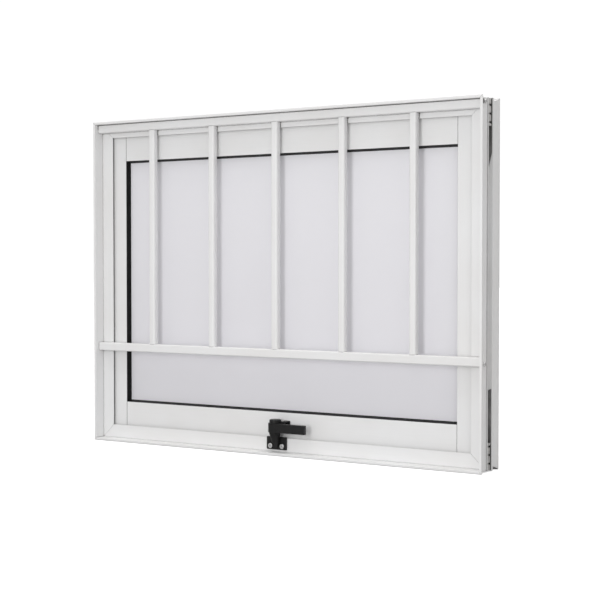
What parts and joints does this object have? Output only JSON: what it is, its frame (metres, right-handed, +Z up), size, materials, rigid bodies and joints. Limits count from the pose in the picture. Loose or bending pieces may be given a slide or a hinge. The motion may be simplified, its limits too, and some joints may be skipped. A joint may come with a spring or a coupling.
{
  "type": "projecting window with security grille",
  "caption": "White aluminium top-hung projecting window with an obscured pane, a black lever latch and a fixed security grille of upright bars on the room side.",
  "frame": {"origin": "centre of the frame on the plane that its foot stands on", "axes": "+Z up, +X across the window as seen from the room, +Y from the room to the outside"},
  "size_m": [0.8, 0.068, 0.6],
  "materials": {
    "white_paint": "satin white powder coat on extruded aluminium",
    "bare_aluminium": "mill finish, saw marks",
    "dark_steel": "blackened sheet steel",
    "stay_steel": "brushed stainless",
    "screw_steel": "bright zinc plated",
    "seal_rubber": "black extruded rubber",
    "latch_plastic": "black moulded plastic, fine grain",
    "nylon": "natural nylon",
    "frosted_glass": "obscured, pale grey"
  },
  "bodies": {
    "frame": {"corner_cleat_bottom_left": "bare_aluminium", "corner_cleat_bottom_right": "bare_aluminium", "corner_cleat_top_left": "bare_aluminium", "corner_cleat_top_right": "bare_aluminium", "corner_plates": "dark_steel", "frame_head": "white_paint", "frame_jamb_left": "white_paint", "frame_jamb_right": "white_paint", "frame_sill": "white_paint", "grille_bar_1": "white_paint", "grille_bar_2": "white_paint", "grille_bar_3": "white_paint", "grille_bar_4": "white_paint", "grille_bar_5": "white_paint", "grille_bar_screws": "screw_steel", "grille_bottom_rail": "white_paint", "grille_end_screws": "screw_steel", "grille_top_rail": "white_paint", "latch_base": "latch_plastic", "latch_pivot_pin": "screw_steel", "latch_screws": "screw_steel", "stay_frame_pins": "stay_steel", "stay_track_left": "stay_steel", "stay_track_right": "stay_steel", "stay_track_screws": "screw_steel", "weatherstrip_bottom": "seal_rubber", "weatherstrip_left": "seal_rubber", "weatherstrip_right": "seal_rubber", "weatherstrip_top": "seal_rubber"},
    "sash": {"back_gasket_bottom": "seal_rubber", "back_gasket_left": "seal_rubber", "back_gasket_right": "seal_rubber", "back_gasket_top": "seal_rubber", "glass_pane": "frosted_glass", "glazing_bead_bottom": "white_paint", "glazing_bead_left": "white_paint", "glazing_bead_right": "white_paint", "glazing_bead_top": "white_paint", "keeper_screws": "screw_steel", "latch_keeper": "latch_plastic", "sash_bottom_rail": "white_paint", "sash_corner_screws": "screw_steel", "sash_stile_left": "white_paint", "sash_stile_right": "white_paint", "sash_top_rail": "white_paint", "setting_blocks": "nylon", "stay_plate_left": "stay_steel", "stay_plate_right": "stay_steel", "stay_plate_screws": "screw_steel", "stay_sash_pins": "stay_steel", "wedge_gasket_bottom": "seal_rubber", "wedge_gasket_left": "seal_rubber", "wedge_gasket_right": "seal_rubber", "wedge_gasket_top": "seal_rubber"},
    "left_arm": {"stay_arm_left": "stay_steel"},
    "right_arm": {"stay_arm_right": "stay_steel"},
    "left_shoe": {"stay_shoe_left": "nylon"},
    "right_shoe": {"stay_shoe_right": "nylon"},
    "latch": {"latch_lever": "latch_plastic", "latch_cap": "latch_plastic"}
  },
  "joints": [
    {"name": "left_arm_swing", "type": "hinge", "parent": "frame", "child": "left_arm", "pos_m": [-0.381, 0.007, 0.323], "axis": [-1, 0, 0], "range_deg": [0, 45]},
    {"name": "sash_tilt", "type": "hinge", "parent": "left_arm", "child": "sash", "pos_m": [-0.381, 0.007, 0.448], "axis": [1, 0, 0], "range_deg": [0, 90]},
    {"name": "right_arm_swing", "type": "hinge", "parent": "frame", "child": "right_arm", "pos_m": [0.381, 0.007, 0.323], "axis": [-1, 0, 0], "range_deg": [0, 45]},
    {"name": "left_shoe_turn", "type": "hinge", "parent": "sash", "child": "left_shoe", "pos_m": [-0.385, 0.007, 0.573], "axis": [-1, 0, 0], "range_deg": [0, 45]},
    {"name": "right_shoe_turn", "type": "hinge", "parent": "sash", "child": "right_shoe", "pos_m": [0.385, 0.007, 0.573], "axis": [-1, 0, 0], "range_deg": [0, 45]},
    {"name": "latch_turn", "type": "hinge", "parent": "frame", "child": "latch", "pos_m": [0.0015, -0.02, 0.0475], "axis": [0, 0, -1], "range_deg": [0, 90]}
  ],
  "couplings": [
    {"joint": "sash_tilt", "follows": "left_arm_swing", "ratio": 2},
    {"joint": "right_arm_swing", "follows": "left_arm_swing", "ratio": 1},
    {"joint": "left_shoe_turn", "follows": "left_arm_swing", "ratio": 1},
    {"joint": "right_shoe_turn", "follows": "left_arm_swing", "ratio": 1}
  ]
}
